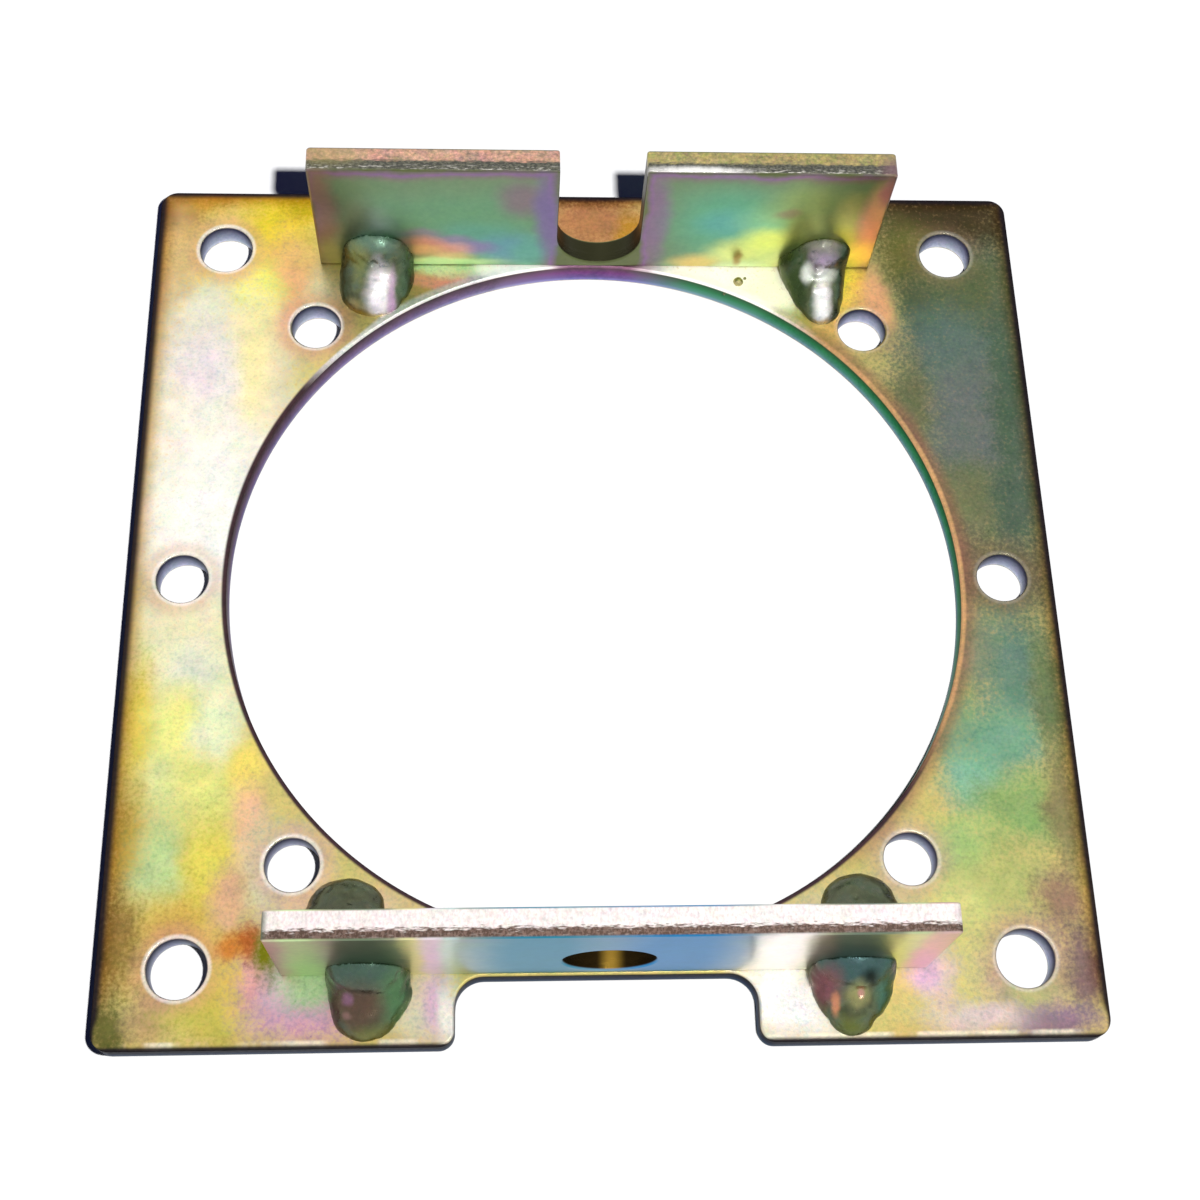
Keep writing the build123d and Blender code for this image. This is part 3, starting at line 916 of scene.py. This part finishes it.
plateForm = dict(
    notchWidth=47.5, notchLip=0.4, notchRoot=4.5, notchMouth=2.5, cornerRound=3.0, edgeRoll=0.45,
    underRoll=0.2, ringPlaces=8,
)
frontLow, frontHigh = boxInMm("front_flange")
rearLow, rearHigh = boxInMm("rear_flange")
notchEdge = frontLow.y - plateForm["notchLip"]
notchHalf = plateForm["notchWidth"] / 2
cornerRound = plateForm["cornerRound"]
plateCorners = [
    (plateLow.x, plateLow.y, cornerRound),
    (-notchHalf, plateLow.y, plateForm["notchMouth"]),
    (-notchHalf, notchEdge, plateForm["notchRoot"]),
    (notchHalf, notchEdge, plateForm["notchRoot"]),
    (notchHalf, plateLow.y, plateForm["notchMouth"]),
    (plateHigh.x, plateLow.y, cornerRound),
    (plateHigh.x, plateHigh.y, cornerRound),
    (plateLow.x, plateHigh.y, cornerRound),
]
sheetBody = buildSheetBody()
cornerHoles = mounts["corner_holes"]["dims"]
sideHoles = mounts["side_ring_holes"]["dims"]
holder = curveHolder("plateOutline", plateCorners)
applyTree(holder, buildBoltPlate(sheetBody), {
    "Thickness": sheet,
    "Lower Weight": plateForm["underRoll"] / plateForm["edgeRoll"],
    "Material": plateMetal,
    "Bore Radius": boreRadius,
    "Ring Radius": sideHoles["spacing_x_mm"] / 2,
    "Ring Hole Radius": sideHoles["hole_r_mm"],
    "Ring Places": plateForm["ringPlaces"],
    "Corner Spacing X": cornerHoles["spacing_x_mm"],
    "Corner Spacing Y": cornerHoles["spacing_y_mm"],
    "Corner Hole Radius": cornerHoles["hole_r_mm"],
})
plate = finishSheet(holder, "bolt_plate", plateForm, Matrix.Identity(4))
dress(plate, "chromated_steel", "base_plate")
print("base plate:", len(plate.data.vertices), "points")

# flanges

flangeStrip = buildFlangeStrip(sheetBody)


def makeFlange(name, node, slotted, metal):
    low, high = boxInMm(node)
    half, height = (high.x - low.x) / 2, high.z - low.z
    rodHeight = mounts["rod_hole"]["pos_m"][2] / mm - low.z
    topRound, mouth = flangeForm["cornerRound"], flangeForm["slotMouth"]
    corners = [(-half, 0, 0), (half, 0, 0), (half, height, topRound)]
    if slotted:
        foot = rodHeight - slotHalf
        footRound = slotHalf * 0.9999  # a full half-width would leave the two fillets no line between them
        corners += [(slotHalf, height, mouth), (slotHalf, foot, footRound),
            (-slotHalf, foot, footRound), (-slotHalf, height, mouth)]
    corners.append((-half, height, topRound))
    holder = curveHolder(name + "Outline", corners)
    applyTree(holder, flangeStrip, {
        "Thickness": high.y - low.y,
        "Lower Weight": flangeForm["underRoll"] / flangeForm["edgeRoll"],
        "Material": metal,
        "Hole Radius": 0.0 if slotted else rodRadius,
        "Hole Height": rodHeight,
    })
    middle = (low + high) / 2
    upright = Matrix.Translation((middle.x, high.y, low.z)) @ Matrix.Rotation(math.pi / 2, 4, "X")
    flange = finishSheet(holder, name, flangeForm, upright)
    dress(flange, "chromated_steel", node)
    print(name + ":", len(flange.data.vertices), "points")


makeFlange("round_hole_flange", "front_flange", False, frontMetal)
makeFlange("slotted_flange", "rear_flange", True, rearMetal)

# welds

beadStages = ("Top", "Joint", "Foot", "Tip")
beadMesh = dict(pathSteps=24, puddleRounds=5, block=40.0, boreDepth=60.0)


def stageValue(tree, along, values):
    # value by share of the way: four values reached at 0, 1/3, 2/3 and 1, eased between them
    total = values[0]
    for step, (before, after) in enumerate(zip(values, values[1:])):
        eased = smoothRange(tree, along, step / 3, (step + 1) / 3)
        total = timesPlus(tree, minus(tree, after, before), eased, total)
    return total


def buildWeldBead():
    # puddles of weld metal along a path from the flange face (y = 0) down to the plate (z = 0), melted
    # together, pitted, then trimmed to the corner and to the bore
    stages = [stage + kind for kind in (" Width", " Sway") for stage in beadStages]
    lengths = ["Reach", "Rise", "Depth"] + stages
    tree, given, result = newTree("weldBead", {**dict.fromkeys(lengths, "Float"),
        "Puddles": "Int", "Seed": "Int", "Voxel": "Float", "Melt": "Int", "Lumps": "Float", "Pits": "Float",
        "Crater": "Vector", "Crater Size": "Float", "Bore Place": "Vector", "Bore Radius": "Float",
        "Material": "Material"})
    depth = given["Depth"]
    start = shaderNode(tree, "CombineXYZ", {"Y": -1.0, "Z": minus(tree, given["Rise"], depth)})
    middle = shaderNode(tree, "CombineXYZ", {"Y": 0.3, "Z": 0.3})
    end = shaderNode(tree, "CombineXYZ", {"Y": minus(tree, given["Reach"], depth), "Z": -1.0})
    path = geoNode(tree, "CurveQuadraticBezier",
        {"Resolution": beadMesh["pathSteps"], "Start": start, "Middle": middle, "End": end})
    points = geoNode(tree, "CurveToPoints", {"Curve": path, "Count": given["Puddles"]}, mode="COUNT")
    along = over(tree, geoNode(tree, "InputIndex"), minus(tree, given["Puddles"], 1.0))
    width = stageValue(tree, along, [given[stage + " Width"] for stage in beadStages])
    sway = stageValue(tree, along, [given[stage + " Sway"] for stage in beadStages])
    chance = addNode(tree, "FunctionNodeRandomValue", {2: 0.95, 3: 1.0, "Seed": given["Seed"]})
    loose = geoNode(tree, "SetPosition",
        {"Geometry": points, "Offset": shaderNode(tree, "CombineXYZ", {"X": sway})})
    puddle = geoNode(tree, "MeshIcoSphere", {"Radius": 1.0, "Subdivisions": beadMesh["puddleRounds"]})
    size = shaderNode(tree, "CombineXYZ", {"X": times(tree, width, 0.5), "Y": depth, "Z": depth})
    run = geoNode(tree, "InstanceOnPoints", {"Points": loose, "Instance": puddle,
        "Scale": vector2(tree, "SCALE", size, scale=chance.outputs[1])})
    real = geoNode(tree, "RealizeInstances", {"Geometry": run})
    fused = geoNode(tree, "MeshToVolume",
        {"Mesh": real, "Voxel Size": given["Voxel"], "Interior Band Width": 2.0},
        resolution_mode="VOXEL_SIZE")
    skin = geoNode(tree, "VolumeToMesh",
        {"Volume": fused, "Voxel Size": given["Voxel"], "Threshold": 0.1}, resolution_mode="VOXEL_SIZE")
    place = geoNode(tree, "InputPosition")
    blurred = geoNode(tree, "BlurAttribute", {"Value": place, "Iterations": given["Melt"]},
        data_type="FLOAT_VECTOR")
    melted = geoNode(tree, "SetPosition", {"Geometry": skin, "Position": blurred})
    outward = geoNode(tree, "InputNormal")
    lump = shaderNode(tree, "TexNoise",
        {"Vector": place, "Scale": 0.3, "Detail": 2.0, "W": given["Seed"]}, noise_dimensions="4D")
    lumpHeight = times(tree, minus(tree, lump, 0.5), given["Lumps"])
    cells = shaderNode(tree, "TexVoronoi", {"Vector": place, "Scale": 0.42, "W": given["Seed"]},
        voronoi_dimensions="4D")
    pinhole = fade(tree, cells.outputs["Distance"], 0.1, 0.34)
    pinDepth = times(tree, pinhole, given["Pits"])
    # crater: a round pit with a raised rim
    away = over(tree, vector2(tree, "DISTANCE", place, given["Crater"]), given["Crater Size"])
    pit = math2(tree, "EXPONENT", times(tree, math2(tree, "POWER", away, 2.0), -2.0))
    offRim = minus(tree, away, 1.5)
    rim = math2(tree, "EXPONENT", times(tree, math2(tree, "POWER", offRim, 2.0), -6.0))
    crater = times(tree, minus(tree, times(tree, rim, 0.3), pit), given["Crater Size"])
    height = plus(tree, minus(tree, lumpHeight, pinDepth), times(tree, crater, 0.6))
    worked = geoNode(tree, "SetPosition",
        {"Geometry": melted, "Offset": vector2(tree, "SCALE", outward, scale=height)})
    # trimmed to the side of the flange and the plate that it lies on, then to the bore
    blockHalf = beadMesh["block"] / 2
    block = geoNode(tree, "MeshCube", {"Size": (beadMesh["block"],) * 3})
    corner = geoNode(tree, "Transform", {"Geometry": block, "Translation": (0.0, blockHalf, blockHalf)})
    cornered = geoNode(tree, "MeshBoolean", operation="INTERSECT", solver="MANIFOLD")
    for part in (worked, corner):
        feed(tree, part, cornered.inputs["Mesh 2"])
    boreRound = geoNode(tree, "MeshCylinder",
        {"Vertices": roundSteps["bore"], "Radius": given["Bore Radius"], "Depth": beadMesh["boreDepth"]})
    bore = geoNode(tree, "Transform", {"Geometry": boreRound, "Translation": given["Bore Place"]})
    trimmed = geoNode(tree, "MeshBoolean", {"Mesh 1": cornered, "Mesh 2": bore}, operation="DIFFERENCE",
        solver="MANIFOLD")
    feed(tree, paintSmooth(tree, trimmed, given["Material"]), result[0])
    return tree


weldBead = buildWeldBead()
weldInset = dict(inner=10.3, outer=13.05)  # flange's end to a bead's middle
weldForm = dict(depth=5.2, voxel=0.3, melt=8, lumps=0.7, pits=0.2, puddles=11, boreLip=0.35)
# each bead from its top on the flange, past the joint, to its tip on the plate: widths, sideways shifts
# to the right, a crater's place (right, out from the flange, up from the plate) and size, extra reach
weldShapes = {
    "front_inner_weld_left": ((13.4, 14.4, 14.4, 13.2), (-0.6, -0.8, -0.8, -0.5), (0.5, 6.0, 4.0), 0.5, 0.0),
    "front_inner_weld_right": ((13.6, 14.6, 14.4, 13.2), (0.3, 0.3, 0.3, 0.2), (-1.0, 6.0, 4.0), 0.5, 0.0),
    "front_outer_weld_left": ((13.0, 13.6, 13.8, 11.4), (0.3, 0.6, 0.9, 0.3), (-1.4, 5.6, 4.6), 0.4, 0.0),
    "front_outer_weld_right": ((14.0, 14.4, 13.8, 9.2), (0.7, 0.8, 0.9, 0.4), (1.2, 4.8, 5.4), 0.9, 0.3),
    "rear_inner_weld_left": ((13.0, 13.8, 14.4, 12.6), (0.2, 0.3, 0.1, -0.6), (-0.2, 3.8, 6.0), 0.7, 0.2),
    "rear_inner_weld_right": ((11.4, 13.2, 11.6, 8.6), (0.8, -0.6, 0.0, 0.7), (-0.3, 4.0, 5.8), 0.8, 1.4),
    "rear_outer_weld_left": ((12.4, 12.8, 12.6, 10.4), (0.2, 0.0, 0.3, 0.2), (0.6, 6.0, 4.2), 0.6, 0.0),
    "rear_outer_weld_right": ((12.4, 13.0, 12.4, 10.0), (-0.2, 0.0, -0.3, 0.0), (-0.5, 6.2, 4.2), 0.6, 0.0),
}
for number, (node, (widths, sways, crater, craterSize, extraReach)) in enumerate(weldShapes.items()):
    low, high = boxInMm(node)
    facesRear = "front_inner" in node or "rear_outer" in node
    side = 1 if facesRear else -1
    # CAD cuts the beads at the bore and the outer edges, so the middle comes from the flange's end
    flangeLow, flangeHigh = (frontLow, frontHigh) if node.startswith("front") else (rearLow, rearHigh)
    inset = weldInset["inner" if "inner" in node else "outer"]
    middle = flangeLow.x + inset if node.endswith("left") else flangeHigh.x - inset
    face = low.y if facesRear else high.y
    values = {name.title(): weldForm[name] for name in ("depth", "puddles", "voxel", "melt", "lumps", "pits")}
    values.update({
        "Reach": high.y - low.y + extraReach,
        "Rise": high.z - low.z,
        "Seed": number + 1,
        "Crater": (crater[0] * side, crater[1], crater[2]),
        "Crater Size": craterSize,
        "Bore Place": (-middle * side, -face * side, 0.0),
        "Bore Radius": boreRadius + weldForm["boreLip"],
        "Material": weldMetal,
    })
    for stage, width, sway in zip(beadStages, widths, sways):
        values[stage + " Width"] = width
        values[stage + " Sway"] = sway * side
    holder = addObject(node, bpy.data.meshes.new(node))
    applyTree(holder, weldBead, values)
    seat = Matrix.Translation((middle, face, low.z))
    turn = Matrix.Rotation(0 if facesRear else math.pi, 4, "Z")
    bead = makePiece(holder, node.replace("_weld_", "_bead_"), Matrix.Scale(mm, 4) @ seat @ turn)
    dress(bead, "chromated_weld", node)
print("welds:", len(weldShapes), "beads,", len(bead.data.polygons), "faces in the last")


def buildSpatter():
    # drops of weld metal scattered on the plate round a middle, the first and largest one right on it
    tree, given, result = newTree("spatter",
        {"Middle": "Vector", "Spread": "Float", "Drops": "Int", "Largest": "Float", "Smallest": "Float",
        "Seed": "Int", "Material": "Material"})
    cloud = geoNode(tree, "Points", {"Count": given["Drops"]})
    others = math2(tree, "GREATER_THAN", geoNode(tree, "InputIndex"), 0.5)
    aside = addNode(tree, "FunctionNodeRandomValue",
        {0: (-1.0, -1.0, 0.0), 1: (1.0, 1.0, 0.0), "Seed": given["Seed"]}, data_type="FLOAT_VECTOR")
    offset = vector2(tree, "SCALE", aside, scale=times(tree, others, given["Spread"]))
    spread = geoNode(tree, "SetPosition",
        {"Geometry": cloud, "Position": vector2(tree, "ADD", given["Middle"], offset)})
    radius = timesPlus(tree, others, minus(tree, given["Smallest"], given["Largest"]), given["Largest"])
    drop = geoNode(tree, "MeshIcoSphere", {"Radius": 1.0, "Subdivisions": 4})
    dimple = noise(tree, geoNode(tree, "InputPosition"), 1.1, 2.0)
    dent = vector2(tree, "SCALE", geoNode(tree, "InputNormal"),
        scale=times(tree, minus(tree, dimple, 0.5), 0.35))
    dented = geoNode(tree, "SetPosition", {"Geometry": drop, "Offset": dent})
    size = shaderNode(tree, "CombineXYZ", {"X": radius, "Y": radius, "Z": times(tree, radius, 0.8)})
    placed = geoNode(tree, "InstanceOnPoints", {"Points": spread, "Instance": dented, "Scale": size})
    real = geoNode(tree, "RealizeInstances", {"Geometry": placed})
    feed(tree, paintSmooth(tree, real, given["Material"]), result[0])
    return tree


spatterForm = dict(middle=(27.5, 59.8), rise=0.15, spread=3.0, drops=3, largest=0.9, smallest=0.28, seed=4)
holder = addObject("spatter", bpy.data.meshes.new("spatter"))
values = {name.title(): spatterForm[name] for name in ("spread", "drops", "largest", "smallest", "seed")}
values.update({"Middle": (*spatterForm["middle"], sheet + spatterForm["rise"]), "Material": weldMetal})
applyTree(holder, buildSpatter(), values)
spatter = makePiece(holder, "weld_spatter", Matrix.Scale(mm, 4))
dress(spatter, "chromated_weld")
print("spatter:", spatterForm["drops"], "drops")

# floor, light, camera

cameraPose = dict(
    place=(-15.9, -123.7, 285.8), turn=(23.065, -2.760, -1.307), lens=53.79, sensor=36, nearest=0.01,
)
camera = addObject("camera", bpy.data.cameras.new("camera"))
camera.location = Vector(cameraPose["place"]) * mm
camera.rotation_euler = [math.radians(a) for a in cameraPose["turn"]]
camera.data.lens = cameraPose["lens"]
camera.data.sensor_width = cameraPose["sensor"]
camera.data.clip_start = cameraPose["nearest"]
bpy.context.scene.camera = camera

studioLook = dict(
    flashPlace=(0.036, -0.095, 0.302), flashSize=0.012, flashPower=4.6,
    windowPlace=(-0.214, 0.44, 0.79), windowSize=0.4, windowPower=0.15,
    overheadPlace=(0.10, -0.16, 0.55), overheadSize=0.05, overheadPower=0.4, shade=(0.022, 0.024, 0.085),
    floorReach=0.44, floorPale=0.9, floorRise=0.00002, floorFade=(0.17, 0.25),
)


def addLamp(name, target=(0, 0, 0)):
    place = studioLook[name + "Place"]
    lamp = addObject(name, bpy.data.lights.new(name, "AREA"))
    lamp.data.size = studioLook[name + "Size"]
    lamp.data.energy = studioLook[name + "Power"]
    lamp.location = place
    lamp.rotation_euler = (Vector(target) - Vector(place)).to_track_quat("-Z", "Y").to_euler()
    return lamp


flash = addLamp("flash", (*studioLook["flashPlace"][:2], 0))
flash.visible_glossy = False  # it only casts the shadows on the floor
for label in ("window", "overhead"):
    addLamp(label).visible_diffuse = False  # glints on metal only, so the floor keeps one deep shadow

world = bpy.data.worlds.new("studio")
world.use_nodes = True
bpy.context.scene.world = world
worldTree = world.node_tree
rays = shaderNode(worldTree, "LightPath").outputs
seen = math2(worldTree, "MAXIMUM", rays["Is Camera Ray"],
    math2(worldTree, "MAXIMUM", rays["Is Glossy Ray"], rays["Is Transmission Ray"]))
feed(worldTree, mixColor(worldTree, seen, (*studioLook["shade"], 1), (1, 1, 1, 1)),
    worldTree.nodes["Background"].inputs["Color"])

# pale floor, evened out under the flash, fading into the white backdrop; from below it isn't seen
floorMesh = bpy.data.meshes.new("floor")
floorCorners = [(-1, -1), (1, -1), (1, 1), (-1, 1)]
floorMesh.from_pydata([(x, y, studioLook["floorRise"]) for x, y in floorCorners], [], [(0, 1, 2, 3)])
floor = addObject("floor", floorMesh)
floorPaint, floorTree, floorSurface = newMaterial("floorPaint", {"Roughness": 1, "Specular IOR Level": 0})
floorPlace = shaderNode(floorTree, "TexCoord").outputs["Object"]
toFlash = vector2(floorTree, "DISTANCE", floorPlace, studioLook["flashPlace"])
evened = math2(floorTree, "POWER", over(floorTree, toFlash, studioLook["floorReach"]), 4.0)
pale = least(floorTree, times(floorTree, evened, studioLook["floorPale"]), studioLook["floorPale"])
feed(floorTree, pale, floorSurface["Base Color"])
nearMiddle = fade(floorTree, vector2(floorTree, "LENGTH", floorPlace), *studioLook["floorFade"])
fromAbove = minus(floorTree, 1.0, shaderNode(floorTree, "NewGeometry").outputs["Backfacing"])
feed(floorTree, times(floorTree, nearMiddle, fromAbove), floorSurface["Alpha"])
floorMesh.materials.append(floorPaint)

bpy.context.scene.view_settings.view_transform = "Standard"
